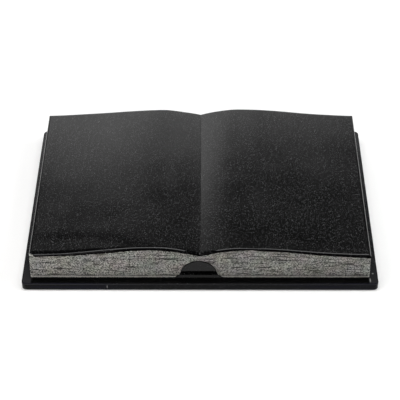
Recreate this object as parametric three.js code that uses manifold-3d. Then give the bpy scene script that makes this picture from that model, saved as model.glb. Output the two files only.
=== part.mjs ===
// Open-book memorial, carved from one block of black granite.
// +X runs across the two pages to the reader's right, +Y from foot to head and +Z up.
// The origin is the centre of the underside.

import * as THREE from 'three';
import { mergeVertices } from 'three/addons/utils/BufferGeometryUtils.js';
import Module from 'manifold-3d';

// Driving dimensions in millimetres

// The board that shows round the pages
const BOARD_WIDTH = 350;
const BOARD_DEPTH = 250;
const BOARD_THICKNESS = 8.2;
const BOARD_CORNER_RADIUS = 2;
const BOARD_ARRIS = 0.8;
const BOARD_MARGIN = 8.5;

// The page surface, as heights above the board, and its slopes as rise over run
const GUTTER_HEIGHT = 30.5;
const GUTTER_SLOPE = 0.28;
const CROWN_HEIGHT = 37.5;
const CROWN_FROM_GUTTER = 42;
const FORE_EDGE_HEIGHT = 28.9;
const FORE_EDGE_SLOPE = -0.03;
const FORE_EDGE_LEAN = 0.6;

// The polished sheet on top of the block, with a rounded arris
const SHEET_THICKNESS = 2.5;
const SHEET_ARRIS_RADIUS = 2.8;
const FORE_EDGE_ARRIS_RADIUS = 3.4;
const ARRIS_STEPS = 4;

// The dressed page edges: a foot lip and bands of pages parted by scored lines
const DRESSING_DEPTH = 0.5;
const FOOT_LIP_HEIGHT = 2.9;
const PAGE_BANDS = 3;
const SCORE_DEPTH = 0.7;

// The half-round end of the spine, at the foot and at the head of the book
const SPINE_RADIUS = 19;
const SPINE_CENTRE_HEIGHT = 2.2;
const SPINE_FLARE_START_HEIGHT = 6.2;
const SPINE_FLARE_HALF_WIDTH = 25.8;
const SPINE_PROUD = 0.7;
const SPINE_ARRIS = 0.5;

// Working allowances
const ROOT_DEPTH = 4;
const CORE_INSET = 2;
const CUT_OVERRUN = 5;
const BAND_OVERLAP = 0.05;
const CURVE_STEPS = 12;

const PAGE_HALF_WIDTH = BOARD_WIDTH / 2 - BOARD_MARGIN;
const PAGE_DEPTH = BOARD_DEPTH - 2 * BOARD_MARGIN;
const DRESSED_DEPTH = PAGE_DEPTH - 2 * DRESSING_DEPTH;

const wasm = await Module();
wasm.setup();

// A closed three.js geometry as a solid that can be joined and cut.
function solidFrom(geometry) {
  geometry.deleteAttribute('normal');
  geometry.deleteAttribute('uv');
  const merged = mergeVertices(geometry);
  return new wasm.Manifold(
    new wasm.Mesh({
      numProp: 3,
      vertProperties: merged.attributes.position.array,
      triVerts: new Uint32Array(merged.index.array),
    }),
  );
}

function geometryFrom(solid) {
  const mesh = solid.getMesh();
  const geometry = new THREE.BufferGeometry();
  geometry.setAttribute('position', new THREE.BufferAttribute(mesh.vertProperties, 3));
  geometry.setIndex(new THREE.BufferAttribute(mesh.triVerts, 1));
  return geometry;
}

// Half the width of the page block at a height above the board: the fore-edges lean out to the foot.
function halfWidthAt(height) {
  return PAGE_HALF_WIDTH + FORE_EDGE_LEAN * (1 - height / FORE_EDGE_HEIGHT);
}

// How the height of a page surface follows from the height of the top one.
// Page lines share the height over the foot lip evenly, and the sheet's underside runs parallel to its top.
// A band's upper surface is raised a little into the stone above it, so that the two join.
const topSheet = (height) => height;
const sheetUnderside = (height) => height - SHEET_THICKNESS;
const pageLine = (share) => (height) => FOOT_LIP_HEIGHT + share * (sheetUnderside(height) - FOOT_LIP_HEIGHT);

const raised = (surface) => (height) => surface(height) + BAND_OVERLAP;

// Draws one page surface across both pages, from the shape's current point.
// endInset shortens it at the fore-edges; direction is 1 from left to right and -1 from right to left.
function drawPages(shape, surface, endInset, direction) {
  const foreEdge = surface(FORE_EDGE_HEIGHT);
  const crown = surface(CROWN_HEIGHT);
  const gutter = surface(GUTTER_HEIGHT);
  const foreEdgeX = halfWidthAt(foreEdge) - endInset;
  const outerThird = (foreEdgeX - CROWN_FROM_GUTTER) / 3;
  const innerThird = CROWN_FROM_GUTTER / 3;
  const foreEdgeRise = surface(FORE_EDGE_HEIGHT - FORE_EDGE_SLOPE * outerThird) - foreEdge;
  const gutterRise = surface(GUTTER_HEIGHT + GUTTER_SLOPE * innerThird) - gutter;
  const side = -direction;
  shape.bezierCurveTo(
    side * (foreEdgeX - outerThird), foreEdge + foreEdgeRise,
    side * (CROWN_FROM_GUTTER + outerThird), crown,
    side * CROWN_FROM_GUTTER, crown,
  );
  shape.bezierCurveTo(
    side * (CROWN_FROM_GUTTER - innerThird), crown,
    side * innerThird, gutter + gutterRise,
    0, gutter,
  );
  shape.bezierCurveTo(
    -side * innerThird, gutter + gutterRise,
    -side * (CROWN_FROM_GUTTER - innerThird), crown,
    -side * CROWN_FROM_GUTTER, crown,
  );
  shape.bezierCurveTo(
    -side * (CROWN_FROM_GUTTER + outerThird), crown,
    -side * (foreEdgeX - outerThird), foreEdge + foreEdgeRise,
    -side * foreEdgeX, foreEdge,
  );
}

// Extrudes an outline in the XZ plane along Y, centred. A bevel takes in its front and back edges.
function extrudeHeadToFoot(shape, depth, bevel = 0, bevelSteps = 1) {
  const geometry = new THREE.ExtrudeGeometry(shape, {
    depth: depth - 2 * bevel,
    curveSegments: CURVE_STEPS,
    bevelEnabled: bevel > 0,
    bevelThickness: bevel,
    bevelSize: bevel,
    bevelOffset: -bevel,
    bevelSegments: bevelSteps,
  });
  geometry.translate(0, 0, bevel - depth / 2);
  geometry.rotateX(Math.PI / 2);
  geometry.translate(0, 0, BOARD_THICKNESS);
  return solidFrom(geometry);
}

// One band of pages between two page surfaces, its edges bevelled so that neighbours meet in a scored line.
function makePageBand(lower, upper) {
  const lowerEdge = lower(FORE_EDGE_HEIGHT);
  const upperEdge = upper(FORE_EDGE_HEIGHT);
  const lowerX = halfWidthAt(lowerEdge) - DRESSING_DEPTH;
  const upperX = halfWidthAt(upperEdge) - DRESSING_DEPTH;
  const endInset = DRESSING_DEPTH + SCORE_DEPTH;
  const shape = new THREE.Shape();
  shape.moveTo(-(lowerX - SCORE_DEPTH), lowerEdge);
  drawPages(shape, lower, endInset, 1);
  shape.lineTo(lowerX, lowerEdge + SCORE_DEPTH);
  shape.lineTo(upperX, upperEdge - SCORE_DEPTH);
  shape.lineTo(upperX - SCORE_DEPTH, upperEdge);
  drawPages(shape, upper, endInset, -1);
  shape.lineTo(-upperX, upperEdge - SCORE_DEPTH);
  shape.lineTo(-lowerX, lowerEdge + SCORE_DEPTH);
  shape.closePath();
  return extrudeHeadToFoot(shape, DRESSED_DEPTH, SCORE_DEPTH);
}

// The lip along the foot of the page block, level all round and standing proud of the dressed bands.
function makeFootLip() {
  const footX = halfWidthAt(0);
  const shape = new THREE.Shape();
  shape.moveTo(-footX, -ROOT_DEPTH);
  shape.lineTo(footX, -ROOT_DEPTH);
  shape.lineTo(footX, FOOT_LIP_HEIGHT - SCORE_DEPTH);
  shape.lineTo(footX - SCORE_DEPTH, FOOT_LIP_HEIGHT);
  shape.lineTo(SCORE_DEPTH - footX, FOOT_LIP_HEIGHT);
  shape.lineTo(-footX, FOOT_LIP_HEIGHT - SCORE_DEPTH);
  shape.closePath();
  return extrudeHeadToFoot(shape, PAGE_DEPTH, SCORE_DEPTH);
}

// The plain core behind the lip, the bands and the sheet, which joins them into one block.
function makePageCore() {
  const foreEdge = sheetUnderside(FORE_EDGE_HEIGHT);
  const endInset = DRESSING_DEPTH + CORE_INSET;
  const footX = halfWidthAt(0) - endInset;
  const shape = new THREE.Shape();
  shape.moveTo(-footX, -ROOT_DEPTH / 2);
  shape.lineTo(footX, -ROOT_DEPTH / 2);
  shape.lineTo(halfWidthAt(foreEdge) - endInset, foreEdge);
  drawPages(shape, sheetUnderside, endInset, -1);
  shape.closePath();
  return extrudeHeadToFoot(shape, DRESSED_DEPTH - 2 * CORE_INSET);
}

// The polished sheet before its arris is rounded: it overruns the block on every side.
function makeTopSheet() {
  const overrun = (height) => height + CUT_OVERRUN;
  const lowerEdge = sheetUnderside(FORE_EDGE_HEIGHT);
  const upperEdge = overrun(FORE_EDGE_HEIGHT);
  const shape = new THREE.Shape();
  shape.moveTo(-(halfWidthAt(lowerEdge) + CUT_OVERRUN), lowerEdge);
  drawPages(shape, sheetUnderside, -CUT_OVERRUN, 1);
  shape.lineTo(halfWidthAt(upperEdge) + CUT_OVERRUN, upperEdge);
  drawPages(shape, overrun, -CUT_OVERRUN, -1);
  shape.closePath();
  return extrudeHeadToFoot(shape, PAGE_DEPTH + 2 * CUT_OVERRUN);
}

// Rounds a corner of an outline through part of a turn, with a fixed number of straight steps.
function drawArc(shape, x, z, radius, startAngle, endAngle) {
  for (let step = 0; step <= ARRIS_STEPS; step += 1) {
    const angle = THREE.MathUtils.lerp(startAngle, endAngle, step / ARRIS_STEPS);
    shape.lineTo(x + radius * Math.cos(angle), z + radius * Math.sin(angle));
  }
}

// The page block's outline with rounded fore-edges, carried past the head and the foot.
function makeForeEdgeRounding() {
  const footX = halfWidthAt(-ROOT_DEPTH);
  const arcX = halfWidthAt(FORE_EDGE_HEIGHT) - FORE_EDGE_ARRIS_RADIUS;
  const arcZ = FORE_EDGE_HEIGHT - FORE_EDGE_ARRIS_RADIUS;
  const shape = new THREE.Shape();
  shape.moveTo(-footX, -ROOT_DEPTH);
  shape.lineTo(footX, -ROOT_DEPTH);
  drawArc(shape, arcX, arcZ, FORE_EDGE_ARRIS_RADIUS, 0, Math.PI / 2);
  drawPages(shape, topSheet, FORE_EDGE_ARRIS_RADIUS, -1);
  drawArc(shape, -arcX, arcZ, FORE_EDGE_ARRIS_RADIUS, Math.PI / 2, Math.PI);
  shape.closePath();
  return extrudeHeadToFoot(shape, PAGE_DEPTH + 2 * CUT_OVERRUN);
}

// The same page surface carried past the fore-edges, with the arris rounded along the head and the foot.
function makeHeadAndFootRounding() {
  const sideX = halfWidthAt(-ROOT_DEPTH) + CUT_OVERRUN;
  const arcX = halfWidthAt(FORE_EDGE_HEIGHT) - FORE_EDGE_ARRIS_RADIUS;
  const shape = new THREE.Shape();
  shape.moveTo(-sideX, -ROOT_DEPTH - CUT_OVERRUN);
  shape.lineTo(sideX, -ROOT_DEPTH - CUT_OVERRUN);
  shape.lineTo(sideX, FORE_EDGE_HEIGHT);
  shape.lineTo(arcX, FORE_EDGE_HEIGHT);
  drawPages(shape, topSheet, FORE_EDGE_ARRIS_RADIUS, -1);
  shape.lineTo(-sideX, FORE_EDGE_HEIGHT);
  shape.closePath();
  return extrudeHeadToFoot(shape, PAGE_DEPTH, SHEET_ARRIS_RADIUS, ARRIS_STEPS);
}

// The polished spine end, a half round whose feet flare out, proud of the dressed pages. end is -1 or 1 on Y.
function makeSpineEnd(end) {
  const flareRise = SPINE_FLARE_START_HEIGHT - SPINE_CENTRE_HEIGHT;
  const flareAngle = Math.asin(flareRise / SPINE_RADIUS);
  const flareX = SPINE_RADIUS * Math.cos(flareAngle);
  const shape = new THREE.Shape();
  shape.moveTo(SPINE_FLARE_HALF_WIDTH, -ROOT_DEPTH);
  shape.lineTo(SPINE_FLARE_HALF_WIDTH, 0);
  shape.quadraticCurveTo(SPINE_RADIUS, 0, flareX, SPINE_FLARE_START_HEIGHT);
  shape.absarc(0, SPINE_CENTRE_HEIGHT, SPINE_RADIUS, flareAngle, Math.PI - flareAngle, false);
  shape.quadraticCurveTo(-SPINE_RADIUS, 0, -SPINE_FLARE_HALF_WIDTH, 0);
  shape.lineTo(-SPINE_FLARE_HALF_WIDTH, -ROOT_DEPTH);
  shape.closePath();
  const thickness = SPINE_PROUD + 2 * CORE_INSET;
  const spineEnd = extrudeHeadToFoot(shape, thickness, SPINE_ARRIS);
  return spineEnd.translate([0, end * (DRESSED_DEPTH / 2 + SPINE_PROUD - thickness / 2), 0]);
}

// The board under the pages: a thin slab with eased corners and arrises.
function makeBoard() {
  const x = BOARD_WIDTH / 2;
  const y = BOARD_DEPTH / 2;
  const r = BOARD_CORNER_RADIUS;
  const shape = new THREE.Shape();
  shape.moveTo(r - x, -y);
  shape.lineTo(x - r, -y);
  shape.quadraticCurveTo(x, -y, x, r - y);
  shape.lineTo(x, y - r);
  shape.quadraticCurveTo(x, y, x - r, y);
  shape.lineTo(r - x, y);
  shape.quadraticCurveTo(-x, y, -x, y - r);
  shape.lineTo(-x, r - y);
  shape.quadraticCurveTo(-x, -y, r - x, -y);
  const geometry = new THREE.ExtrudeGeometry(shape, {
    depth: BOARD_THICKNESS - 2 * BOARD_ARRIS,
    curveSegments: CURVE_STEPS / 3,
    bevelThickness: BOARD_ARRIS,
    bevelSize: BOARD_ARRIS,
    bevelOffset: -BOARD_ARRIS,
    bevelSegments: 1,
  });
  geometry.translate(0, 0, BOARD_ARRIS);
  return solidFrom(geometry);
}

function makePages() {
  let pages = makePageCore().add(makeFootLip()).add(makeTopSheet());
  for (let band = 0; band < PAGE_BANDS; band += 1) {
    pages = pages.add(makePageBand(pageLine(band / PAGE_BANDS), raised(pageLine((band + 1) / PAGE_BANDS))));
  }
  pages = pages.intersect(makeForeEdgeRounding()).intersect(makeHeadAndFootRounding());
  return pages.add(makeSpineEnd(-1)).add(makeSpineEnd(1));
}

const granite = new THREE.MeshStandardMaterial({ color: 0x1d1d1f, roughness: 0.25, metalness: 0 });
const book = new THREE.Mesh(geometryFrom(makePages().add(makeBoard())), granite);
book.name = 'granite_book';

const memorial = new THREE.Group();
memorial.add(book);

export default memorial;
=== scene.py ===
"""Finishes an open-book memorial of black granite: polished pages and board, dressed page edges, studio."""

import math

import bpy
import numpy as np
from mathutils import Matrix, Vector, noise


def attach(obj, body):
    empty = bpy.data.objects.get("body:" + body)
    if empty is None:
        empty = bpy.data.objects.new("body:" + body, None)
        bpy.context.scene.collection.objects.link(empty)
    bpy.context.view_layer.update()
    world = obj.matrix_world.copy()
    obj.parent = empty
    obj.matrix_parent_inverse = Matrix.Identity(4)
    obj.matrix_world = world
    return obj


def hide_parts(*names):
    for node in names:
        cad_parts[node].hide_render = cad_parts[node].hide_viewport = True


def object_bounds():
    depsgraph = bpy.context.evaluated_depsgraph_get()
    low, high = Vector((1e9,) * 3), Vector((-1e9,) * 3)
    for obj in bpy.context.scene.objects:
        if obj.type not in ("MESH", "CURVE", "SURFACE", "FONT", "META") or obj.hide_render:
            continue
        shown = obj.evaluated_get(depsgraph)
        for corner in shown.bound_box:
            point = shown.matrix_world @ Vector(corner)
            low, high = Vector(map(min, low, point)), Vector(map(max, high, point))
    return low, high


bl_info = {
    "name": "Granite Book Memorial",
    "version": (1, 0, 0),
    "blender": (4, 5, 0),
    "location": "3D View > Sidebar > Memorial",
    "description": "Carves and finishes an open-book memorial of black granite and lights it",
    "category": "Object",
}

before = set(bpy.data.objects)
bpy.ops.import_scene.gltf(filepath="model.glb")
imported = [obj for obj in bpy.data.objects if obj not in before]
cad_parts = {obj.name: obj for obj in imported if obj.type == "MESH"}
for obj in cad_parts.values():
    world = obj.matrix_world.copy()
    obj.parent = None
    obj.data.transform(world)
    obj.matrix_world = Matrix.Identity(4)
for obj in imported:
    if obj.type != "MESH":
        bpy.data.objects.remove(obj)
CAD_LOW, CAD_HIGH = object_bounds()
NODE = "granite_book"
BODY = "root"
MM = 0.001
SHARP_ANGLE = math.radians(38)
SENSOR_WIDTH = 36

# Order of the finishes in the stone's material slots
SATIN_PAGE, POLISHED_ARRIS, BOARD_TOP, HONED_EDGE, DRESSED_EDGE = range(5)
# Signs of the corners in plan, anticlockwise from the front right
CORNER_SIGNS = np.array([(1, -1), (1, 1), (-1, 1), (-1, -1)])


def number(name, description, value, **kind):
    """A property that holds a number."""
    return bpy.props.FloatProperty(name=name, description=description, default=value, **kind)


def length(name, description, millimetres):
    """A property that holds a length, given here in millimetres."""
    return number(name, description, millimetres * MM, unit="LENGTH", precision=4)


def angle(name, description, degrees):
    """A property that holds an angle, given here in degrees."""
    return number(name, description, math.radians(degrees), subtype="ANGLE")


def colour(name, description, value):
    """A property that holds a colour."""
    return bpy.props.FloatVectorProperty(
        name=name, description=description, default=value, size=3, min=0, max=1, subtype="COLOR"
    )


class BookSizes(bpy.types.PropertyGroup):
    """Sizes of the carved book. Page heights are measured above the board."""

    board_width: length("Board width", "Left to right", (CAD_HIGH.x - CAD_LOW.x) / MM)
    board_depth: length("Board depth", "Foot to head", (CAD_HIGH.y - CAD_LOW.y) / MM)
    board_thickness: length("Board thickness", "Height of the board's edge", 8.2)
    board_arris: length("Board arris", "Radius along the board's edges", 0.8)
    board_corner: length("Board corner", "Radius of the board's corners in plan", 4.6)
    margin: length("Margin", "Board that shows round the pages", 8.5)
    gutter_height: length("Gutter height", "Page surface in the gutter", 30.5)
    gutter_slope: number("Gutter slope", "Rise over run of a page where it leaves the gutter", 0.28)
    crown_height: length("Crown height", "Page surface at its highest", 37.5)
    crown_from_gutter: length("Crown from gutter", "Distance from the gutter to a page's crown", 42)
    fore_edge_height: length("Fore-edge height", "Page surface at the fore-edge", 28.9)
    fore_edge_slope: number("Fore-edge slope", "Rise over run of a page at the fore-edge", -0.03)
    left_tilt: length("Left tilt", "Extra height of the left page's crown at the foot, lost at the head", 0.9)
    head_dip: length("Head dip", "Two shallow dips at the head of the left page", 0.8)
    corner_rise: length("Corner rise", "Extra height of the left page at its front corner", 0.8)
    right_dip: length("Right dip", "Shallow dip across the middle of the right page", 0.5)
    fore_edge_lean: length("Fore-edge lean", "How far a fore-edge leans out to its foot", 0.6)
    sheet_thickness: length("Sheet thickness", "Polished edge of the top sheet", 2.5)
    dressed_rim: length("Dressed rim", "Dressed stone that laps over the lower edge of the sheet", 0.26)
    end_roll: length("End roll", "Radius of the roll above the page arris at head and foot", 1.4)
    worn_roll: length("Worn roll", "Radius of that roll where polishing has worn it most", 16)
    side_arris: length("Side arris", "Radius of the page arris at the fore-edges", 2.6)
    block_corner: length("Block corner", "Radius of the page block's upright corners", 1.4)
    dressing_depth: length("Dressing depth", "How far the dressed edges lie behind the arris", 0.5)
    lip_height: length("Lip height", "Height of the lip along the foot of the pages", 2.9)
    spine_radius: length("Spine radius", "Radius of the half-round spine end", 18.3)
    spine_centre: length("Spine centre", "Height of the spine end's centre", 3.7)
    spine_flare_start: length("Spine flare start", "Height where the feet begin to flare", 6.6)
    spine_flare: length("Spine flare", "Half the spine end's width at its foot", 26.4)
    spine_proud: length("Spine proud", "How far the spine end stands off the dressed edges", 0.3)
    spine_shift: length("Spine shift", "How far the front spine end lies off the gutter's line", -1.2)
    spine_lean: number("Spine lean", "How far the spine end leans out, as run over rise", 0.055)
    spine_sweep: number("Spine sweep", "Greatest slope of the spine end's foot as it sweeps out", 0.31)
    spine_sweep_start: length("Spine sweep start", "Height where that sweep begins", 5.95)
    spine_sweep_end: length("Spine sweep end", "Height where it reaches its greatest slope", 1.5)


class StoneFinish(bpy.types.PropertyGroup):
    """Tooling and colours of the stone."""

    cell: length("Cell", "Mesh spacing on the dressed edges", 0.85)
    pit_size: length("Pit size", "Spacing of the tool's pits on the dressed edges", 1.9)
    pit_depth: length("Pit depth", "Depth of the tool's pits", 0.32)
    score_depth: length("Score depth", "Depth of the scored page lines", 0.75)
    score_break: length("Score break", "Usual length of a scored stroke before it fades", 9)
    seed: number("Seed", "Place in the random pattern of the tooling", 4.0)
    black: colour("Black", "Polished ground of the stone", (0.001, 0.001, 0.00105))
    dull: colour("Dull", "Ground at the ends of the board's top", (0.017, 0.017, 0.019))
    # Painted reflection: a bluish tint that stands for sky reflected in the board's edge
    sky_reflection_tint: colour("Cold", "Cast of the streaks along the board's edge", (0.001, 0.001, 0.007))
    # Painted highlight: a paler colour that stands for the light line along the board's upper arris
    worn: colour("Worn", "Worn arris of the board", (0.05, 0.05, 0.055))
    crystal: colour("Crystal", "Pale crystals in the polished stone", (0.11, 0.11, 0.113))
    nick: colour("Nick", "Bruised stone in the board's nicks", (0.25, 0.25, 0.25))
    dressed: colour("Dressed", "Bruised ground of the dressed edges", (0.545, 0.54, 0.5))
    dressed_dark: colour("Dressed dark", "Dark grains of the dressed edges", (0.02, 0.0195, 0.018))
    dressed_pale: colour("Dressed pale", "Pale grains of the dressed edges", (1.0, 0.99, 0.95))


class StudioSettings(bpy.types.PropertyGroup):
    """Camera and lights. The camera's aim is measured from the centre of the board's top."""

    lens: number("Lens", "Focal length in millimetres on a 36 mm sensor", 125.82)
    distance: length("Distance", "Camera to its aim", 1463.7)
    elevation: angle("Elevation", "Camera above the horizon", 39.441)
    turn: angle("Turn", "Camera turned about the upright axis", 0.412)
    roll: angle("Roll", "Camera rolled about its own axis", -0.229)
    aim_right: length("Aim right", "Aim point to the camera's right", -0.453)
    aim_up: length("Aim up", "Aim point up the picture", 2.563)
    backdrop_glow: number("Backdrop glow", "Radiance of the lit backdrop", 2.16)
    backdrop_top: length("Backdrop top", "Height of the backdrop's upper edge", 708)
    backdrop_tilt: angle("Backdrop tilt", "Slope of the backdrop's upper edge, down to the right", 9.3)
    softbox_glow: number("Softbox glow", "Radiance of the softboxes overhead", 6.6)
    fill_glow: number("Fill glow", "Radiance of the fill light at the left", 2.4)
    room_glow: number("Room glow", "Radiance of the room behind the book", 0.16)
    front_glow: number("Front glow", "Radiance of the room behind the camera", 0.06)
    floor_glow: number("Floor glow", "Light that the floor gives of itself", 0.12)


# Shape of the book

def half_width(sizes):
    return sizes.board_width / 2 - sizes.margin


def half_depth(sizes):
    return sizes.board_depth / 2 - sizes.margin


def hermite(t, start, end, start_rise, end_rise):
    """Cubic from start to end over t = 0 to 1, with the given rises at its ends."""
    return (
        (2 * t**3 - 3 * t**2 + 1) * start
        + (t**3 - 2 * t**2 + t) * start_rise
        + (3 * t**2 - 2 * t**3) * end
        + (t**3 - t**2) * end_rise
    )


def foot_share(sizes, y):
    """1 at the foot of the pages, 0 from their middle to the head."""
    return np.clip(-y / half_depth(sizes), 0, 1)


# Uneven places of the pages, as distance from the gutter and reach, in millimetres
LEFT_CROWN = (-62, 30)
HEAD_DIPS = ((-100, 27), (-20, 15))
RIGHT_DIP = (112, 26)
RAISED_CORNER = (128, 27)


def page_unevenness(sizes, x, y):
    """Unevenness of the hand-carved pages: a tilted crown, a raised corner, and dips."""

    def swell(centre, reach):
        return np.exp(-(((x - centre * MM) / (reach * MM)) ** 2))

    head = np.clip(y / half_depth(sizes), 0, 1) ** 2
    tilted = sizes.left_tilt * swell(*LEFT_CROWN) * y / half_depth(sizes)
    dipped = sizes.head_dip * head * sum(swell(*dip) for dip in HEAD_DIPS)
    start, run = RAISED_CORNER
    outward = np.clip((-x - start * MM) / (run * MM), 0, 1)
    raised = sizes.corner_rise * outward**2 * (3 - 2 * outward) * foot_share(sizes, y) ** 3
    return raised - tilted - dipped - sizes.right_dip * swell(*RIGHT_DIP)


def page_height(sizes, x, y):
    """Height of the page surface above the board, x from the gutter and y from the middle."""
    uneven = page_unevenness(sizes, x, y)
    x = np.abs(x)
    crown = sizes.crown_height
    inner_run = sizes.crown_from_gutter
    outer_run = half_width(sizes) - sizes.side_arris - inner_run
    inner = hermite(x / inner_run, sizes.gutter_height, crown, sizes.gutter_slope * inner_run, 0)
    outer_t = np.minimum((x - inner_run) / outer_run, 1)
    outer = hermite(outer_t, crown, sizes.fore_edge_height, 0, sizes.fore_edge_slope * outer_run)
    return np.where(x < inner_run, inner, outer) + uneven


def arris_drop(distance, radius):
    """How far a rounded edge has fallen at a distance inside it."""
    inside = np.clip(distance, 0, radius)
    return radius - np.sqrt(radius**2 - (radius - inside) ** 2)


# Steepness of the end arris at its lower edge and where it meets the roll, as the normal's elevation
ARRIS_LOW, ARRIS_HIGH = math.radians(20), math.radians(74)
LOW_SIN, HIGH_SIN = math.sin(ARRIS_LOW), math.sin(ARRIS_HIGH)
LOW_COS, HIGH_COS = math.cos(ARRIS_LOW), math.cos(ARRIS_HIGH)
# Wear of the end arris, in millimetres: where it starts on the left page, how far on it is greatest,
# and the place, reach and share of the wear by the gutter
WEAR_START, WEAR_RUN = 45, 90
GUTTER_WEAR_PLACE, GUTTER_WEAR_REACH, GUTTER_WEAR_SHARE = -18, 13, 0.26
# Unevenness of the sheet's hand-cut edge: place from the gutter and extra height, in millimetres
EDGE_PLACES = (-166, -158, -147, -130, -95, -75, -60, -50, -30, -15, 20, 36, 46, 54, 64, 120, 150, 166)
EDGE_EXTRAS = (
    0.3, 0.3, -0.1, 0.25, 0.7, 0.5, 0.3, -0.1, 0.4, 0.3, 0.0, -0.1, -0.7, -0.8, -0.2, 0.1, 0.3, 0.9
)


def edge_thickness(sizes, x, y):
    """Height of the sheet's polished edge, uneven at the foot."""
    uneven = np.interp(x / MM, EDGE_PLACES, EDGE_EXTRAS) * MM
    return sizes.sheet_thickness + uneven * foot_share(sizes, y)


def end_radii(sizes, x, y):
    """Radii of the end arris and of the roll above it, worn wider at the front left and by the gutter."""
    foot = np.clip((-x - WEAR_START * MM) / (WEAR_RUN * MM), 0, 1) * foot_share(sizes, y)
    from_gutter = (x - GUTTER_WEAR_PLACE * MM) / (GUTTER_WEAR_REACH * MM)
    worn = np.maximum(foot, GUTTER_WEAR_SHARE * np.exp(-(from_gutter**2)))
    roll = sizes.end_roll + worn * (sizes.worn_roll - sizes.end_roll)
    rest = edge_thickness(sizes, x, y) - sizes.dressed_rim - roll * (1 - HIGH_SIN)
    return rest / (HIGH_SIN - LOW_SIN), roll


def end_inset(sizes, x, y, normal):
    """How far inside the edge the end arris has a normal of this elevation."""
    arris, roll = end_radii(sizes, x, y)
    low, high = min(normal, ARRIS_HIGH), max(normal, ARRIS_HIGH)
    return arris * (LOW_COS - math.cos(low)) + roll * (HIGH_COS - math.cos(high))


def end_drop(sizes, x, y):
    """How far the end arris and its roll have fallen."""
    distance = half_depth(sizes) - np.abs(y)
    arris, roll = end_radii(sizes, x, y)
    width = arris * (LOW_COS - HIGH_COS)
    on_arris = np.clip(LOW_COS - np.clip(distance, 0, width) / arris, 0, 1)
    on_roll = np.clip(HIGH_COS - np.clip(distance - width, 0, None) / roll, 0, 1)
    return arris * (HIGH_SIN - np.sqrt(1 - on_arris**2)) + roll * (1 - np.sqrt(1 - on_roll**2))


def sheet_height(sizes, x, y):
    """Height of the polished sheet above the board, with its rounded arris."""
    side_drop = arris_drop(half_width(sizes) - np.abs(x), sizes.side_arris)
    drop = np.maximum(end_drop(sizes, x, y), side_drop)
    return page_height(sizes, x, y) - np.minimum(drop, edge_thickness(sizes, x, y))


class Outline:
    """The page block's outline in plan, anticlockwise from the left end of the front edge."""

    CORNER_STEPS = 3

    def __init__(self, sizes, cell):
        self.x_half, self.y_half = half_width(sizes), half_depth(sizes)
        corner = sizes.block_corner
        x_run, y_run = self.x_half - corner, self.y_half - corner
        along_x = np.linspace(-x_run, x_run, round(2 * x_run / cell) + 1)
        along_y = np.linspace(-y_run, y_run, round(2 * y_run / cell) + 1)
        self.n_side = len(along_y)
        front = np.stack([along_x, np.full_like(along_x, -self.y_half)], 1)
        right = np.stack([np.full_like(along_y, self.x_half), along_y], 1)
        turn = np.linspace(0, math.pi / 2, self.CORNER_STEPS + 2)[1:-1]
        arc = corner * np.stack([np.sin(turn), -np.cos(turn)], 1)
        quarter_turn = np.array([[0, 1], [-1, 0]])
        stretches = []
        for quarter, straight in enumerate([front, right, -front, -right]):
            turned = arc @ np.linalg.matrix_power(quarter_turn, quarter)
            stretches += [straight, CORNER_SIGNS[quarter] * (x_run, y_run) + turned]
        self.points = np.concatenate(stretches)
        self.count = len(self.points)
        starts = np.cumsum([0] + [len(stretch) for stretch in stretches])
        self.front = np.arange(starts[0], starts[1])
        self.right = np.arange(starts[1], starts[4])
        self.back = np.arange(starts[4], starts[5])
        self.left = np.arange(starts[5], starts[8])

    def ring(self, x_inset, y_inset):
        """The outline taken in by these amounts at the fore-edges and at the ends."""
        inset = np.stack(np.broadcast_arrays(x_inset / self.x_half, y_inset / self.y_half), -1)
        return self.points * (1 - inset)


class Shell:
    """Vertices, faces and their finishes of a closed shell while it is being built."""

    def __init__(self):
        self.points = []
        self.faces = []
        self.finishes = []
        self.count = 0

    def add_points(self, points):
        self.points.append(np.asarray(points, float))
        first = self.count
        self.count += len(points)
        return np.arange(first, self.count)

    def add_faces(self, faces, finish):
        self.faces += [list(map(int, face)) for face in faces]
        self.finishes += [finish] * len(faces)

    def bridge(self, lower, upper, finish, closed=True):
        """Quads between two rows of vertices that run anticlockwise seen from above."""
        following = np.roll(np.arange(len(lower)), -1)
        steps = range(len(lower) if closed else len(lower) - 1)
        self.add_faces(
            [(lower[i], lower[following[i]], upper[following[i]], upper[i]) for i in steps], finish
        )

    def make_object(self, name, materials, values=None):
        """An object of the shell, smooth but for the flat board, with values stored on its vertices."""
        mesh = bpy.data.meshes.new(name)
        mesh.from_pydata(np.concatenate(self.points), [], self.faces)
        for material in materials:
            mesh.materials.append(material)
        mesh.polygons.foreach_set("material_index", self.finishes)
        mesh.polygons.foreach_set("use_smooth", [finish != BOARD_TOP for finish in self.finishes])
        for key, value in (values or {}).items():
            mesh.attributes.new(key, "FLOAT", "POINT").data.foreach_set("value", value)
        mesh.update()
        shell = bpy.data.objects.new(name, mesh)
        bpy.context.scene.collection.objects.link(shell)
        return shell


def row_noise(points, size, seed):
    """Smooth noise from -1 to 1 along a row of points."""
    place = Vector((seed, 2 * seed, 3 * seed))
    return np.array([noise.noise(Vector((p[0], p[1], 0)) / size + place) for p in points])


# Half the width of a scored line, as a share of the band between two lines
SCORE_SHARE = 0.045


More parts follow.
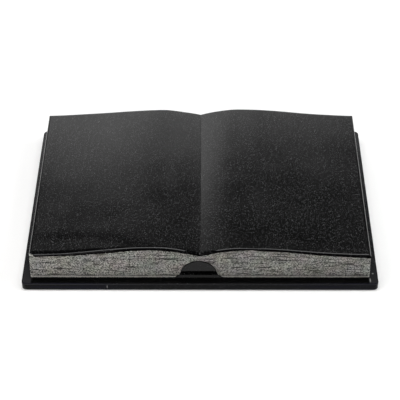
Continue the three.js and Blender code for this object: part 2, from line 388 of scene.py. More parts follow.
class PageBlock:
    """Builds the shell of the page block from its foot to the polished sheet."""

    BAND_COUNT, BAND_ROWS = 3, 11
    ARRIS_STEPS, ROLL_STEPS = 7, 4
    # Scored lines have whole numbers, so none is cut half way between two
    OFF_LINE = 0.5
    # How far the block reaches into the board
    ROOT = 1 * MM
    WOBBLE, WOBBLE_SIZE = 0.3 * MM, 6 * MM
    CHIP_REACH, CHIP_DEPTH = 3.9 * MM, 1.1 * MM
    CHIP_SHAPE, CHIP_INWARD = (0.65, 1, 1), (0.5, 0.6, -0.6)
    LIP_SCORE = 0.6 * MM
    LIP_DRESSING = 0.3
    # Height above the board and distance behind the face, in millimetres, up to the lowest scored line
    LIP_SECTION = ((0.2, 0.6), (0.9, 0.6), (1.3, 0.7), (1.7, 1.05), (2.3, 1.2))
    # Distance of the page surface's rows from head and foot, in millimetres
    SHEET_ROWS = (0.6, 1.4, 2.6, 4.5, 7, 10, 14, 19, 26, 36, 50, 66, 84, 100)

    def __init__(self, sizes, finish):
        self.sizes, self.finish = sizes, finish
        self.outline = Outline(sizes, finish.cell)
        self.shell = Shell()
        self.dressing, self.page_line = [], []
        x, y = self.outline.points.T
        self.under = page_height(sizes, x, y) - edge_thickness(sizes, x, y)

    def add_row(self, flat, height, dressing, page_line):
        """One row of vertices at a height above the board, with their values for the tooling."""
        self.dressing.append(np.full(len(flat), dressing, float))
        self.page_line.append(np.full(len(flat), page_line, float))
        return self.shell.add_points(np.column_stack([flat, height + self.sizes.board_thickness]))

    def add_ring(self, inset, height, dressing, page_line):
        """One ring of vertices; the fore-edges lean out towards the foot."""
        height = np.broadcast_to(height, self.outline.count)
        lean = self.sizes.fore_edge_lean * (1 - height / self.sizes.fore_edge_height)
        return self.add_row(self.outline.ring(inset - lean, inset), height, dressing, page_line)

    def foot_rings(self):
        """The lip along the foot of the pages, below the lowest scored line."""
        foot = self.LIP_SECTION[0][1] * MM
        rings = [self.add_ring(foot, -self.ROOT, 0, self.OFF_LINE)]
        for height, inset in self.LIP_SECTION:
            rings.append(self.add_ring(inset * MM, height * MM, self.LIP_DRESSING, self.OFF_LINE))
        return rings

    def band_rings(self):
        """The dressed edges, with a row of vertices along each scored line."""
        sizes = self.sizes
        shares = [0.0, *np.linspace(SCORE_SHARE, 1 - SCORE_SHARE, self.BAND_ROWS)]
        rings = []
        for band in range(self.BAND_COUNT):
            for share in shares:
                line = band + share
                height = sizes.lip_height + line / self.BAND_COUNT * (self.under - sizes.lip_height)
                inset = sizes.dressing_depth + self.LIP_SCORE * (line == 0)
                rings.append(self.add_ring(inset, height, 1, line))
        wobble = self.WOBBLE * row_noise(self.outline.points, self.WOBBLE_SIZE, self.finish.seed)
        rings.append(self.add_ring(sizes.dressing_depth, self.under + wobble, 0, self.OFF_LINE))
        return rings, wobble

    def sheet_rings(self, wobble):
        """The polished arris, from the lower edge of the sheet up to the page surface."""
        sizes = self.sizes
        low_side = math.asin(1 - sizes.sheet_thickness / sizes.side_arris)
        normals = np.concatenate([
            np.linspace(ARRIS_LOW, ARRIS_HIGH, self.ARRIS_STEPS + 1),
            np.linspace(ARRIS_HIGH, math.pi / 2, self.ROLL_STEPS + 1)[1:],
        ])
        x, y = self.outline.points.T
        rings = []
        for step, normal in enumerate(normals):
            share = step / (len(normals) - 1)
            side_angle = low_side + share * (math.pi / 2 - low_side)
            y_inset = end_inset(sizes, x, y, normal)
            x_inset = sizes.side_arris * (1 - math.cos(side_angle))
            flat = self.outline.ring(x_inset, y_inset)
            height = sheet_height(sizes, flat[:, 0], flat[:, 1]) + wobble * (step == 0)
            rings.append(self.add_row(flat, height, 0, self.OFF_LINE))
        return rings

    def sheet_rows(self):
        """Indices along a side of the outline where the rows of the page surface meet it."""
        last = self.outline.n_side - 1
        step = 2 * half_depth(self.sizes) / last
        ends = [round(offset * MM / step) for offset in self.SHEET_ROWS]
        ends = sorted({index for index in ends if index > 0})
        return ends + [last // 2] + [last - index for index in reversed(ends)]

    def close_sheet(self, rim):
        """The page surface inside the arris: rows from fore-edge to fore-edge."""
        sizes, outline, shell = self.sizes, self.outline, self.shell
        points = np.concatenate(shell.points)
        front, back = rim[outline.front], rim[outline.back][::-1]
        right, left = rim[outline.right], rim[outline.left][::-1]
        x, near_y = points[front, :2].T
        far_y, right_y = points[back, 1], points[right, 1]
        stops = [index + Outline.CORNER_STEPS for index in self.sheet_rows()]
        rows = [front]
        for stop in stops:
            share = (right_y[stop] - right_y[0]) / (right_y[-1] - right_y[0])
            y = near_y + share * (far_y - near_y)
            height = sheet_height(sizes, x, y)
            rows.append(self.add_row(np.column_stack([x, y]), height, 0, self.OFF_LINE))
        rows.append(back)
        stops = [0, *stops, len(right) - 1]
        for near, far, first, last in zip(rows, rows[1:], stops, stops[1:]):
            shell.bridge(near, far, SATIN_PAGE, closed=False)
            shell.add_faces([[near[-1], *right[first:last + 1], far[-1]]], SATIN_PAGE)
            shell.add_faces([[far[0], *left[first:last + 1][::-1], near[0]]], SATIN_PAGE)

    def chip_corner(self):
        """Knocks a chip off the arris at the front left corner and leaves it bruised."""
        sizes, shell = self.sizes, self.shell
        points = np.concatenate(shell.points)
        x, y = -half_width(sizes), -half_depth(sizes)
        height = sizes.board_thickness + page_height(sizes, x, y) - edge_thickness(sizes, x, y)
        corner = np.array([x, y, height])
        away = np.linalg.norm((points - corner) * self.CHIP_SHAPE, axis=1)
        depth = self.CHIP_DEPTH * np.clip(1 - away / self.CHIP_REACH, 0, 1)
        shell.points = [points + depth[:, None] * self.CHIP_INWARD]
        chipped = away < self.CHIP_REACH
        for index, face in enumerate(shell.faces):
            if shell.finishes[index] == POLISHED_ARRIS and chipped[face].all():
                shell.finishes[index] = DRESSED_EDGE

    def build(self, materials):
        foot = self.foot_rings()
        bands, wobble = self.band_rings()
        sheet = self.sheet_rings(wobble)
        dressed = foot + bands
        self.shell.add_faces([foot[0][::-1]], DRESSED_EDGE)
        for lower, upper in zip(dressed, dressed[1:] + [sheet[0]]):
            self.shell.bridge(lower, upper, DRESSED_EDGE)
        for lower, upper in zip(sheet, sheet[1:]):
            self.shell.bridge(lower, upper, POLISHED_ARRIS)
        self.close_sheet(sheet[-1])
        self.chip_corner()
        values = {"dressing": np.concatenate(self.dressing), "page_line": np.concatenate(self.page_line)}
        return self.shell.make_object("page_block", materials, values)


def build_board(sizes, materials):
    """The board: a slab with rounded arrises and corners."""
    corner_steps, arris_steps = 4, 4
    arris, top = sizes.board_arris, sizes.board_thickness
    shell = Shell()

    def ring(inset, height):
        reach = np.array([sizes.board_width / 2, sizes.board_depth / 2]) - sizes.board_corner
        radius = sizes.board_corner - inset
        points = []
        for quarter, sign in enumerate(CORNER_SIGNS):
            for step in range(corner_steps + 1):
                turn = math.pi / 2 * (quarter - 1 + step / corner_steps)
                x, y = sign * reach + radius * np.array([math.cos(turn), math.sin(turn)])
                points.append((x, y, height))
        return shell.add_points(points)

    section = []
    for step in range(arris_steps + 1):
        turn = math.pi / 2 * step / arris_steps
        section.append((arris * (1 - math.sin(turn)), arris * (1 - math.cos(turn))))
    section += [(inset, top - height) for inset, height in reversed(section)]
    rings = [ring(inset, height) for inset, height in section]
    shell.add_faces([rings[0][::-1]], BOARD_TOP)
    for lower, upper in zip(rings, rings[1:]):
        shell.bridge(lower, upper, HONED_EDGE)
    shell.add_faces([rings[-1]], BOARD_TOP)
    return shell.make_object("board", materials)


# Points along a flared foot of the spine end, and the place of its curve's handle as shares of run and rise
FLARE_POINTS = 9
FLARE_PULL = (0.15, 0.25)


def spine_outline(sizes, spacing):
    """Points from the right foot over the half round to the left foot, as distance and height."""
    rise = sizes.spine_flare_start - sizes.spine_centre
    start = math.asin(rise / sizes.spine_radius)
    flare_x = sizes.spine_radius * math.cos(start)
    steps = np.linspace(0, 1, FLARE_POINTS)[:, None]
    foot = np.array([sizes.spine_flare, 0])
    top = np.array([flare_x, sizes.spine_flare_start])
    pull = np.array([flare_x, 0]) + FLARE_PULL * np.array([sizes.spine_flare - flare_x, top[1]])
    flare = (1 - steps) ** 2 * foot + 2 * steps * (1 - steps) * pull + steps**2 * top
    arc_steps = round((math.pi - 2 * start) * sizes.spine_radius / spacing)
    turn = np.linspace(start, math.pi - start, arc_steps + 1)[1:-1]
    arc = np.stack([np.cos(turn), np.sin(turn)], 1) * sizes.spine_radius + (0, sizes.spine_centre)
    return np.concatenate([flare, arc, flare[::-1] * (-1, 1)])


def spine_sweep(sizes, z):
    """How far the foot of the spine end has swept out at a height: a slope that grows, then stays."""
    start, end = sizes.spine_sweep_start, sizes.spine_sweep_end
    curved = np.clip(start - z, 0, start - end)
    straight = np.clip(end - z, 0, None)
    return sizes.spine_sweep * (curved**2 / (2 * (start - end)) + straight)


def build_spine_end(sizes, end, materials):
    """The polished half round at the foot (end -1) or the head (end 1), which sweeps into the board."""
    root, buried, rounding, spacing = 1 * MM, 2 * MM, 0.3 * MM, 0.8 * MM
    # Rows crowd at the foot, where the end sweeps out, and close up again at the rim
    row_count, crowding, rim_rows = 19, 1.5, (0.985, 0.993, 1.0)
    outline = spine_outline(sizes, spacing)
    rows = np.concatenate([np.linspace(0, 1, row_count) ** crowding * rim_rows[0], rim_rows[1:]])
    x = np.broadcast_to(outline[:, 0], (len(rows), len(outline)))
    z = rows[:, None] * (outline[:, 1] + root) - root
    gaps = np.hypot(x[..., None] - outline[:, 0], z[..., None] - outline[:, 1]).min(-1)
    edge = np.clip(gaps / rounding, 0, 1)
    proud = sizes.spine_proud * np.sqrt(1 - (1 - edge) ** 2)
    leaning = sizes.spine_lean * np.clip(z - sizes.spine_sweep_start, 0, None)
    proud = proud + edge * (leaning + spine_sweep(sizes, z))
    face = half_depth(sizes) - sizes.dressing_depth
    shell = Shell()
    z = z + sizes.board_thickness
    if end < 0:
        x = x + sizes.spine_shift
    surface = np.stack([x, end * (face + proud), z], -1)
    front = [shell.add_points(row) for row in surface]
    for lower, upper in zip(front, front[1:]):
        shell.bridge(lower[::end], upper[::end], POLISHED_ARRIS, closed=False)
    right_side = [row[0] for row in front[1:-1]]
    left_side = [row[-1] for row in front[-2:0:-1]]
    rim = np.concatenate([front[0][::-1], right_side, front[-1], left_side])
    flat = np.concatenate(shell.points)[rim]
    flat[:, 1] = end * (face - buried)
    back = shell.add_points(flat)
    shell.bridge(back[::-end], rim[::-end], POLISHED_ARRIS)
    shell.add_faces([back[::end]], POLISHED_ARRIS)
    return shell.make_object("spine_end", materials)


# Node helpers

def set_inputs(tree, node, inputs):
    """Links or sets a node's inputs by name or number."""
    for key, value in inputs.items():
        if isinstance(value, bpy.types.NodeSocket):
            tree.links.new(value, node.inputs[key])
        else:
            node.inputs[key].default_value = value


def add_node(tree, kind, inputs=None, **settings):
    """Adds a node, applies its settings, and links or sets its inputs."""
    node = tree.nodes.new(kind)
    for key, value in settings.items():
        setattr(node, key, value)
    set_inputs(tree, node, inputs or {})
    return node


def calculate(tree, operation, *values, clamp=False):
    """A Math node's result."""
    settings = {"operation": operation, "use_clamp": clamp}
    return add_node(tree, "ShaderNodeMath", dict(enumerate(values)), **settings).outputs[0]


def product(tree, value, *factors):
    """A value multiplied by each factor in turn."""
    for factor in factors:
        value = calculate(tree, "MULTIPLY", value, factor)
    return value


def combine(tree, operation, first, second):
    """A Vector Math node's result."""
    return add_node(tree, "ShaderNodeVectorMath", {0: first, 1: second}, operation=operation).outputs[0]


def split(tree, place):
    """The three coordinates of a place."""
    return add_node(tree, "ShaderNodeSeparateXYZ", {0: place}).outputs


def remap(tree, value, low, high, to_low=0.0, to_high=1.0):
    """A value remapped and clamped, easing in and out."""
    inputs = {"Value": value, "From Min": low, "From Max": high, "To Min": to_low, "To Max": to_high}
    return add_node(tree, "ShaderNodeMapRange", inputs, interpolation_type="SMOOTHSTEP").outputs["Result"]


def band(tree, value, rise, fall):
    """A mask that rises over the first range of a value and falls over the second."""
    return product(tree, remap(tree, value, *rise), remap(tree, value, *fall, 1.0, 0.0))


def blend_colours(tree, factor, first, second, blend="MIX"):
    """A Mix node's colour."""
    inputs = {"Factor": factor, 6: first, 7: second}
    return add_node(tree, "ShaderNodeMix", inputs, data_type="RGBA", blend_type=blend).outputs[2]


def ripples(tree, place, scale, detail, output=0):
    """A Noise Texture's value, or its colour."""
    inputs = {"Vector": place, "Scale": scale, "Detail": detail}
    return add_node(tree, "ShaderNodeTexNoise", inputs).outputs[output]


def streaks(tree, place, factors, detail):
    """Noise on a place that is multiplied axis by axis, so that the pattern is drawn out."""
    return ripples(tree, combine(tree, "MULTIPLY", place, factors), 1.0, detail)


def opaque(rgb):
    """A colour with full alpha, as colour sockets want it."""
    return (*rgb, 1.0)


def new_group(name, kind, inputs, outputs):
    """A node group with sockets given as names and kinds, and what its inputs give."""
    group = bpy.data.node_groups.new(name, kind)
    for in_out, sockets in (("INPUT", inputs), ("OUTPUT", outputs)):
        for socket, socket_kind in sockets.items():
            group.interface.new_socket(socket, in_out=in_out, socket_type="NodeSocket" + socket_kind)
    return group, add_node(group, "NodeGroupInput").outputs


# Tooled relief

# Inputs of the relief, each with the stone finish's property of that name
TOOLING = {
    "Pit Size": "pit_size",
    "Pit Depth": "pit_depth",
    "Score Depth": "score_depth",
    "Score Break": "score_break",
    "Seed": "seed",
}
# How the pits are squeezed along each axis, and what each kind of tooling adds to the relief
PIT_STRETCH = (0.6, 0.6, 1.25)
COARSE_SHARE, FINE_SHARE, PIT_SHARE = 0.8, 1.2, -0.3
FINE_SIZE = 0.45


def relief_tree(dressed_material):
    """Geometry Nodes tree that tools the dressed edges: pits, and scored lines that break off; it also stores
    a mask of painted shade in them.
    """
    geometry = {"Geometry": "Geometry"}
    inputs = geometry | dict.fromkeys(TOOLING, "Float")
    tree, given = new_group("tooled_relief", "GeometryNodeTree", inputs, geometry)
    position = add_node(tree, "GeometryNodeInputPosition").outputs[0]
    place = combine(tree, "MULTIPLY", position, PIT_STRETCH)
    normal = add_node(tree, "GeometryNodeInputNormal").outputs[0]

    def attribute(name):
        return add_node(tree, "GeometryNodeInputNamedAttribute", {"Name": name}, data_type="FLOAT").outputs[0]

    def ripple(size, seed_step, detail):
        inputs = {
            "Vector": place,
            "W": calculate(tree, "ADD", given["Seed"], seed_step),
            "Scale": calculate(tree, "DIVIDE", 1.0, size),
            "Detail": detail,
        }
        return add_node(tree, "ShaderNodeTexNoise", inputs, noise_dimensions="4D").outputs[0]

    coarse = calculate(tree, "SUBTRACT", ripple(given["Pit Size"], 0.0, 2.0), 0.5)
    fine_size = product(tree, given["Pit Size"], FINE_SIZE)
    fine = calculate(tree, "SUBTRACT", ripple(fine_size, 7.0, 1.0), 0.5)
    spread = {"Vector": place, "W": given["Seed"], "Scale": calculate(tree, "DIVIDE", 0.7, given["Pit Size"])}
    cells = add_node(tree, "ShaderNodeTexVoronoi", spread, voronoi_dimensions="4D")
    pit = remap(tree, cells.outputs["Distance"], 0.05, 0.45, 1.0, 0.0)
    tooled = product(tree, coarse, COARSE_SHARE)
    for relief, share in ((fine, FINE_SHARE), (pit, PIT_SHARE)):
        tooled = calculate(tree, "MULTIPLY_ADD", relief, share, tooled)
    tooled = product(tree, tooled, given["Pit Depth"])

    line = attribute("page_line")
    off_line = calculate(tree, "ABSOLUTE", calculate(tree, "SUBTRACT", line, calculate(tree, "ROUND", line)))
    groove = remap(tree, off_line, 0.0, SCORE_SHARE, 1.0, 0.0)
    stroke = product(tree, groove, remap(tree, ripple(given["Score Break"], 3.0, 1.0), 0.42, 0.56))
    scored = product(tree, stroke, given["Score Depth"])

    dressing = attribute("dressing")
    depth = product(tree, calculate(tree, "SUBTRACT", tooled, scored), dressing)
    offset = add_node(tree, "ShaderNodeVectorMath", {0: normal, "Scale": depth}, operation="SCALE").outputs[0]
    # Painted shade: how far a point lies in a scored line or a deep pit, for the dressed colour to darken
    hollow_shade = stroke
    for relief, share in ((pit, 0.15), (coarse, -0.5)):
        hollow_shade = calculate(tree, "MULTIPLY_ADD", relief, share, hollow_shade)
    hollow_shade = calculate(tree, "MULTIPLY", hollow_shade, dressing, clamp=True)
    stored = {"Geometry": given["Geometry"], "Name": "hollow_shade", "Value": hollow_shade}
    kept = add_node(tree, "GeometryNodeStoreNamedAttribute", stored, data_type="FLOAT", domain="POINT")
    moved = add_node(tree, "GeometryNodeSetPosition", {"Geometry": kept.outputs[0], "Offset": offset})
    real = add_node(tree, "GeometryNodeRealizeInstances", {"Geometry": moved.outputs[0]})
    index = add_node(tree, "GeometryNodeInputMaterialIndex").outputs[0]
    numbers = {2: index, 3: DRESSED_EDGE}
    is_dressed = add_node(tree, "FunctionNodeCompare", numbers, data_type="INT", operation="EQUAL").outputs[0]
    chosen = {"Geometry": real.outputs[0], "Selection": is_dressed, "Material": dressed_material}
    finished = add_node(tree, "GeometryNodeSetMaterial", chosen)
    add_node(tree, "NodeGroupOutput", {"Geometry": finished.outputs[0]})
    return tree


def tool_edges(block, finish, materials):
    """Tools the page block's dressed edges and leaves a plain mesh."""
    tree = relief_tree(materials[DRESSED_EDGE])
    modifier = block.modifiers.new("Tooled relief", "NODES")
    modifier.node_group = tree
    for item in tree.interface.items_tree:
        if item.name in TOOLING:
            modifier[item.identifier] = getattr(finish, TOOLING[item.name])
    apply_modifiers(block)


def apply_modifiers(piece):
    """Replaces an object's mesh with the result of its modifiers, and removes them."""
    seen = piece.evaluated_get(bpy.context.evaluated_depsgraph_get())
    made = bpy.data.meshes.new_from_object(seen)
    piece.modifiers.clear()
    old = piece.data
    piece.data = made
    bpy.data.meshes.remove(old)


def join_stone(block, others):
    """Joins closed shells into one solid stone, and welds the slivers along the joins."""
    weld_distance, largest_face = 0.01 * MM, 4
    for other in others:
        join = block.modifiers.new("Join", "BOOLEAN")
        join.operation = "UNION"
        join.solver = "MANIFOLD"
        join.object = other
    block.modifiers.new("Weld", "WELD").merge_threshold = weld_distance
    block.modifiers.new("Triangulate", "TRIANGULATE").min_vertices = largest_face + 1
    apply_modifiers(block)
    for other in others:
        bpy.data.objects.remove(other)


# Stone finishes

def grain_group():
    """Shader group: the crystals of the granite, from a place on the stone and the crystals' size."""
    inputs = {"Place": "Vector", "Crystal Size": "Float", "Pale Share": "Float", "Dark Share": "Float"}
    outputs = dict.fromkeys(("Pale", "Dark", "Cloud", "Grit"), "Float")
    group, given = new_group("granite_grain", "ShaderNodeTree", inputs, outputs)
    scale = calculate(group, "DIVIDE", 1.0, given["Crystal Size"])
    crystals = add_node(group, "ShaderNodeTexVoronoi", {"Vector": given["Place"], "Scale": scale})
    chance = add_node(group, "ShaderNodeSeparateColor", {0: crystals.outputs["Color"]}).outputs
    core = remap(group, crystals.outputs["Distance"], 0.4, 0.65, 1.0, 0.0)
    pale_line = calculate(group, "SUBTRACT", 1.0, given["Pale Share"])
    pale = calculate(group, "GREATER_THAN", chance[0], pale_line)
    dark = calculate(group, "LESS_THAN", chance[1], given["Dark Share"])
    results = {
        "Pale": product(group, pale, core, chance[2]),
        "Dark": product(group, dark, core),
        "Cloud": ripples(group, given["Place"], 28.0, 3.0),
        "Grit": ripples(group, given["Place"], product(group, scale, 1.3), 2.0),
    }
    add_node(group, "NodeGroupOutput", results)
    return group


def spot_group():
    """Shader group: a soft mask round a centre, turned about the upright axis and stretched to its reach."""
    inputs = {"Place": "Vector", "Centre": "Vector", "Turn": "Float", "Reach": "Vector"}
    group, given = new_group("stone_spot", "ShaderNodeTree", inputs, {"Mask": "Float"})
    turn = {
        "Vector": combine(group, "SUBTRACT", given["Place"], given["Centre"]),
        "Angle": product(group, given["Turn"], -1.0),
    }
    turned = add_node(group, "ShaderNodeVectorRotate", turn, rotation_type="Z_AXIS").outputs[0]
    share = combine(group, "DIVIDE", turned, given["Reach"])
    away = add_node(group, "ShaderNodeVectorMath", {0: share}, operation="LENGTH").outputs["Value"]
    add_node(group, "NodeGroupOutput", {"Mask": remap(group, away, 0.2, 1.0, 1.0, 0.0)})
    return group


def add_spots(tree, group, place, spots):
    """The joint mask of several spots, each given as centre, turn in degrees and reach, in millimetres."""
    joint = None
    for centre, turn, reach in spots:
        given = {
            "Place": place,
            "Centre": Vector(centre) * MM,
            "Turn": math.radians(turn),
            "Reach": Vector(reach) * MM,
        }
        mask = add_node(tree, "ShaderNodeGroup", given, node_tree=group).outputs["Mask"]
        joint = mask if joint is None else calculate(tree, "MAXIMUM", joint, mask)
    return joint


def new_material(name):
    """A material, its tree and shader, and the place on the stone."""
    material = bpy.data.materials.new(name)
    material.use_nodes = True
    tree = material.node_tree
    shader = tree.nodes["Principled BSDF"]
    place = add_node(tree, "ShaderNodeTexCoord").outputs["Object"]
    return material, tree, shader, place


def use_grain(tree, group, place, size, pale_share, dark_share):
    """Puts the grain group into a material with its own values."""
    given = {"Place": place, "Crystal Size": size, "Pale Share": pale_share, "Dark Share": dark_share}
    return add_node(tree, "ShaderNodeGroup", given, node_tree=group).outputs


# Marks on the stone, as centre, turn and reach in millimetres and degrees
LEFT_STREAK = (((-136, -89, 41), 0, (58, 10, 30)), ((-78, -101, 41), -19, (58, 10, 30)))
RIGHT_STREAK = (((92, -92, 41), -9, (66, 9, 30)),)
HAZED_BAND = (((-29, 72, 41), 0, (34, 95, 30)),)
# How much each of them changes the roughness of the page
PAGE_MARKS = ((LEFT_STREAK, -0.08), (RIGHT_STREAK, -0.045), (HAZED_BAND, 0.075))
BOARD_NICKS = (
    ((170.3, -110, 8.2), 0, (1.2, 1.2, 1)),
    ((167, -119.6, 8.2), 0, (0.8, 4, 1)),
    ((-90.9, -125, 4.4), 0, (0.55, 1, 3)),
)
# Where the board is marked: the ends and the front of its dull top, the ends of the painted bluish reflection
# on its edge, and the depths below its top where the painted highlight along its arris starts and stops
DULL_ENDS = (165 * MM, 167.5 * MM)
DULL_FRONT = (-118 * MM, -85 * MM)
SKY_TINT_ENDS = (60 * MM, 130 * MM)
HIGHLIGHT_RISE, HIGHLIGHT_FALL = (2 * MM, 1 * MM), (0.9 * MM, 0.3 * MM)
# Heights above the board of the painted highlight along the lip and of the painted shade over it, and how
# softly they end
LIP_HIGHLIGHT, LIP_SHADE, LIP_FADE = (0.6 * MM, 1.9 * MM), (1.6 * MM, 3.6 * MM), 0.4 * MM
# Roughness, haze, wave, gloss and share of pale crystals of each polished finish
POLISHES = {
    "satin_page_granite": (0.2, 0.03, 0.03 * MM, 0.21, 0.16),
    "polished_arris_granite": (0.05, 0.02, 0.01 * MM, 0.2, 0.05),
    "board_top_granite": (0.26, 0.04, 0.02 * MM, 0.1, 0.08),
    "honed_edge_granite": (0.22, 0.05, 0.03 * MM, 0.085, 0.06),
}
POLISHED_CRYSTAL, DRESSED_CRYSTAL = 0.55 * MM, 1.1 * MM


def polished_granite(name, group, finish, roughness, haze, wave, gloss, pale_share):
    """Polished black stone: pale crystals in a black ground, hazed and waved by hand polishing."""
    material, tree, shader, place = new_material(name)
    grain = use_grain(tree, group, place, POLISHED_CRYSTAL, pale_share, 0.0)
    swell = {"Height": ripples(tree, place, 22.0, 1.0), "Distance": wave, "Strength": 1.0}
    look = {
        "Base Color": blend_colours(tree, grain["Pale"], opaque(finish.black), opaque(finish.crystal)),
        "Roughness": remap(tree, grain["Cloud"], 0.3, 0.7, roughness - haze, roughness + haze),
        "Specular IOR Level": gloss,
        "Normal": add_node(tree, "ShaderNodeBump", swell).outputs[0],
    }
    set_inputs(tree, shader, look)
    return material


def recolour(material, mask, tint):
    """Blends a polished material's ground towards a tint where the mask says."""
    tree = material.node_tree
    socket = tree.nodes["Principled BSDF"].inputs["Base Color"]
    tree.links.new(blend_colours(tree, mask, socket.links[0].from_socket, opaque(tint)), socket)


def object_place(material):
    """The place on the stone, in a material that has it."""
    return material.node_tree.nodes["Texture Coordinate"].outputs["Object"]


def buff_page(material, spots):
    """Uneven polish: two finer streaks near the foot of the pages, and a hazier band by the gutter."""
    tree = material.node_tree
    socket = tree.nodes["Principled BSDF"].inputs["Roughness"]
    for marks, change in PAGE_MARKS:
        mask = add_spots(tree, spots, object_place(material), marks)
        tree.links.new(calculate(tree, "MULTIPLY_ADD", mask, change, socket.links[0].from_socket), socket)


def weather_board(material, spots, finish):
    """The ends of the board's top, duller than its front, with a few bruised nicks."""
    tree, place = material.node_tree, object_place(material)
    across, along, _ = split(tree, place)
    far_out = remap(tree, calculate(tree, "ABSOLUTE", across), *DULL_ENDS)
    speckle = remap(tree, ripples(tree, place, 900.0, 1.0), 0.4, 0.62)
    speckle = calculate(tree, "ADD", speckle, remap(tree, along, *DULL_FRONT, 1.3, 0.0))
    recolour(material, calculate(tree, "SUBTRACT", 1.0, far_out), finish.black)
    recolour(material, product(tree, far_out, speckle), finish.dull)
    recolour(material, add_spots(tree, spots, place, BOARD_NICKS), finish.nick)


def paint_edge_light_and_nicks(material, spots, sizes, finish):
    """The board's edge: a painted bluish reflection in streaks along it, a painted highlight along its upper
    arris and a nick.
    """
    tree, place = material.node_tree, object_place(material)
    across, _, height = split(tree, place)
    streaked = streaks(tree, place, (14, 14, 420), 2.0)
    far_out = remap(tree, calculate(tree, "ABSOLUTE", across), *SKY_TINT_ENDS, 0.25, 1.0)
    # Painted reflection: bluish streaks along the edge, stronger towards its ends
    recolour(material, product(tree, far_out, remap(tree, streaked, 0.35, 0.65)), finish.sky_reflection_tint)
    rise, fall = ([sizes.board_thickness - depth for depth in depths] for depths in (HIGHLIGHT_RISE, HIGHLIGHT_FALL))
    # Painted highlight: a paler streaked band near the top of the board's edge
    recolour(material, product(tree, band(tree, height, rise, fall), streaked), finish.worn)
    recolour(material, add_spots(tree, spots, place, BOARD_NICKS), finish.nick)


def dressed_granite(name, group, sizes, finish):
    """Bruised grey stone with dark and pale grains, painted shade in scores and pits, and along the foot a
    painted highlight with painted shade above it.
    """
    material, tree, shader, place = new_material(name)
    pale, dark = opaque(finish.dressed_pale), opaque(finish.dressed_dark)
    squeezed = combine(tree, "MULTIPLY", place, (0.9, 0.9, 1.4))
    grain = use_grain(tree, group, squeezed, DRESSED_CRYSTAL, 0.55, 0.5)
    # The relief's mask of painted shade in the scored lines and pits
    hollow_shade = add_node(tree, "ShaderNodeAttribute", attribute_name="hollow_shade").outputs["Fac"]
    darkened = {
        "grains": grain["Dark"],
        "grit": remap(tree, grain["Grit"], 0.35, 0.65, 0.0, 0.45),
        "layers": remap(tree, streaks(tree, place, (100, 100, 850), 1.0), 0.35, 0.65, 0.0, 0.28),
        "dashes": remap(tree, streaks(tree, place, (90, 90, 650), 0.0), 0.64, 0.72, 0.0, 0.7),
        "painted_hollow_shade": product(tree, hollow_shade, 0.7),
    }
    tinted = blend_colours(tree, grain["Pale"], opaque(finish.dressed), pale)
    for mask in darkened.values():
        tinted = blend_colours(tree, mask, tinted, dark)
    patches = ripples(tree, place, 70.0, 1.0, output="Color")
    cast = blend_colours(tree, 0.55, (0.5, 0.5, 0.5, 1), patches)
    tinted = blend_colours(tree, 0.3, tinted, cast, blend="SOFT_LIGHT")
    height = split(tree, place)["Z"]
    # Painted highlight where the lip at the foot catches the light, and painted shade above it
    for levels, share, tint in ((LIP_HIGHLIGHT, 0.55, pale), (LIP_SHADE, 0.32, dark)):
        low, high = (sizes.board_thickness + level for level in levels)
        mask = band(tree, height, (low, low + LIP_FADE), (high - LIP_FADE, high))
        tinted = blend_colours(tree, product(tree, mask, share), tinted, tint)
    bump = {"Height": grain["Grit"], "Distance": 0.25 * MM, "Strength": 0.7}
    look = {
        "Base Color": tinted,
        "Roughness": 0.9,
        "Specular IOR Level": 0.2,
        "Normal": add_node(tree, "ShaderNodeBump", bump).outputs[0],
    }
    set_inputs(tree, shader, look)
    return material


def stone_materials(sizes, finish):
    """The finishes, in the order of their numbers."""
    grain, spots = grain_group(), spot_group()
    page, arris, board, edge = (
        polished_granite(name, grain, finish, *polish) for name, polish in POLISHES.items()
    )
    buff_page(page, spots)
    weather_board(board, spots, finish)
    paint_edge_light_and_nicks(edge, spots, sizes, finish)
    return [page, arris, board, edge, dressed_granite("dressed_edge_granite", grain, sizes, finish)]


class MEMORIAL_OT_carve_book(bpy.types.Operator):
    """Carves the granite book, tools its page edges and polishes the rest"""

    bl_idname = "memorial.carve_book"
    bl_label = "Carve book"

    def execute(self, context):
        sizes, finish = context.scene.memorial_sizes, context.scene.memorial_finish
        materials = stone_materials(sizes, finish)
        block = PageBlock(sizes, finish).build(materials)
        tool_edges(block, finish, materials)
        others = [build_board(sizes, materials)]
        others += [build_spine_end(sizes, end, materials) for end in (-1, 1)]
        join_stone(block, others)
        block.data.set_sharp_from_angle(angle=SHARP_ANGLE)
        block.name = block.data.name = "carved_book"
        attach(block, BODY)
        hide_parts(NODE)
        return {"FINISHED"}


# Studio

# Sizes and places of the lights in metres, and shares of the glow of the light they belong to
BACKDROP_SIZE, BACKDROP_Y = (1.27, 0.8), 1.0
STRIP_SIZE, STRIP_PLACE, STRIP_SHARE = (0.16, 0.06), (0.08, BACKDROP_Y, 0.725), 0.6
SOFTBOXES = (("softbox", 1.023, -0.0015), ("left_softbox", 0.6, -1.05), ("right_softbox", 1.6, 1.8))
SOFTBOX_DEPTH, SOFTBOX_Y, SOFTBOX_Z = 0.6, -0.05, 1.5
FILLS = (
    ("fill", (-0.45, -0.5, 0.4), 1.0, (1, 0.96, 0.93)),
    ("right_fill", (0.7, 0, 0.35), 0.7, (0.97, 1, 0.95)),
)
FILL_SIZE = (0.4, 0.4)


def add_panel_light(name, size, place, turn, glow, tint=(1, 1, 1)):
    """A rectangular light of even radiance, seen only in reflections."""
    data = bpy.data.lights.new(name, "AREA")
    data.shape = "RECTANGLE"
    data.size, data.size_y = size
    data.energy = glow * math.pi * size[0] * size[1]
    data.color = tint
    light = bpy.data.objects.new(name, data)
    light.matrix_world = Matrix.Translation(place) @ turn
    light.visible_camera = False
    bpy.context.scene.collection.objects.link(light)


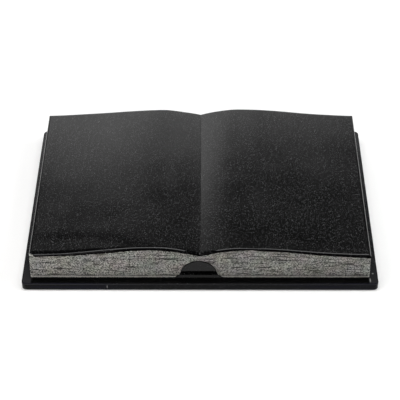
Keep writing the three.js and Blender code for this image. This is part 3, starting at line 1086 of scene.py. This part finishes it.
def light_studio(studio):
    """A lit backdrop with a strip above it, softboxes overhead, and a fill light at either side."""
    upright = Matrix.Rotation(math.radians(-90), 4, "X")
    lean = upright @ Matrix.Rotation(studio.backdrop_tilt, 4, "Z")
    centre = (0, BACKDROP_Y, studio.backdrop_top - BACKDROP_SIZE[1] / 2)
    add_panel_light("backdrop", BACKDROP_SIZE, centre, lean, studio.backdrop_glow)
    add_panel_light("strip", STRIP_SIZE, STRIP_PLACE, upright, STRIP_SHARE * studio.backdrop_glow)
    for name, width, x in SOFTBOXES:
        place = (x, SOFTBOX_Y, SOFTBOX_Z)
        add_panel_light(name, (width, SOFTBOX_DEPTH), place, Matrix(), studio.softbox_glow)
    for name, place, share, tint in FILLS:
        facing = (-Vector(place)).to_track_quat("-Z", "Y").to_matrix().to_4x4()
        add_panel_light(name, FILL_SIZE, place, facing, share * studio.fill_glow, tint)


def light_room(studio):
    """A dim room, a little brighter behind the book than behind the camera."""
    world = bpy.data.worlds.new("studio_room")
    bpy.context.scene.world = world
    world.use_nodes = True
    tree = world.node_tree
    backward = split(tree, add_node(tree, "ShaderNodeTexCoord").outputs["Generated"])["Y"]
    glow = remap(tree, backward, 0.45, 0.8, studio.front_glow, studio.room_glow)
    set_inputs(tree, tree.nodes["Background"], {"Color": (1, 1, 1, 1), "Strength": glow})


def lay_floor(studio):
    """A plain white floor just under the board."""
    reach, below = 4.0, -0.4 * MM
    mesh = bpy.data.meshes.new("floor")
    mesh.from_pydata([(x * reach, y * reach, below) for x, y in CORNER_SIGNS], [], [(0, 1, 2, 3)])
    floor = bpy.data.objects.new("floor", mesh)
    bpy.context.scene.collection.objects.link(floor)
    material = bpy.data.materials.new("floor_paper")
    material.use_nodes = True
    look = {
        "Base Color": (0.85, 0.85, 0.85, 1),
        "Roughness": 0.9,
        "Specular IOR Level": 0.0,
        "Emission Color": (1, 1, 1, 1),
        "Emission Strength": studio.floor_glow,
    }
    set_inputs(material.node_tree, material.node_tree.nodes["Principled BSDF"], look)
    mesh.materials.append(material)


def set_camera(studio, board_top):
    """The camera looks down on the book from the reader's place."""
    data = bpy.data.cameras.new("reader_view")
    data.sensor_width, data.lens = SENSOR_WIDTH, studio.lens
    camera = bpy.data.objects.new("reader_view", data)
    pitch = Matrix.Rotation(math.pi / 2 - studio.elevation, 4, "X")
    facing = Matrix.Rotation(studio.turn, 4, "Z") @ pitch
    aim = Vector((0, 0, board_top)) + facing @ Vector((studio.aim_right, studio.aim_up, studio.distance))
    camera.matrix_world = Matrix.Translation(aim) @ facing @ Matrix.Rotation(studio.roll, 4, "Z")
    bpy.context.scene.collection.objects.link(camera)
    bpy.context.scene.camera = camera


class MEMORIAL_OT_set_studio(bpy.types.Operator):
    """Lays the floor, places the camera and lights the book"""

    bl_idname = "memorial.set_studio"
    bl_label = "Set studio"

    def execute(self, context):
        studio = context.scene.memorial_studio
        lay_floor(studio)
        light_studio(studio)
        light_room(studio)
        set_camera(studio, context.scene.memorial_sizes.board_thickness)
        context.scene.view_settings.view_transform = "Standard"
        return {"FINISHED"}


class MEMORIAL_PT_panel(bpy.types.Panel):
    """Lists the steps and the values behind them"""

    bl_idname = "MEMORIAL_PT_panel"
    bl_label = "Granite book"
    bl_space_type = "VIEW_3D"
    bl_region_type = "UI"
    bl_category = "Memorial"

    def draw(self, context):
        scene = context.scene
        for settings, step in (
            (scene.memorial_sizes, None),
            (scene.memorial_finish, MEMORIAL_OT_carve_book),
            (scene.memorial_studio, MEMORIAL_OT_set_studio),
        ):
            column = self.layout.column(align=True)
            for name in settings.__annotations__:
                column.prop(settings, name)
            if step:
                column.operator(step.bl_idname)


SETTINGS = {"memorial_sizes": BookSizes, "memorial_finish": StoneFinish, "memorial_studio": StudioSettings}
CLASSES = (*SETTINGS.values(), MEMORIAL_OT_carve_book, MEMORIAL_OT_set_studio, MEMORIAL_PT_panel)


def register():
    for item in CLASSES:
        bpy.utils.register_class(item)
    for name, group in SETTINGS.items():
        setattr(bpy.types.Scene, name, bpy.props.PointerProperty(type=group))


def unregister():
    for name in SETTINGS:
        delattr(bpy.types.Scene, name)
    for item in reversed(CLASSES):
        bpy.utils.unregister_class(item)


def main():
    register()
    bpy.ops.memorial.carve_book()
    bpy.ops.memorial.set_studio()


if __name__ == "__main__":
    main()
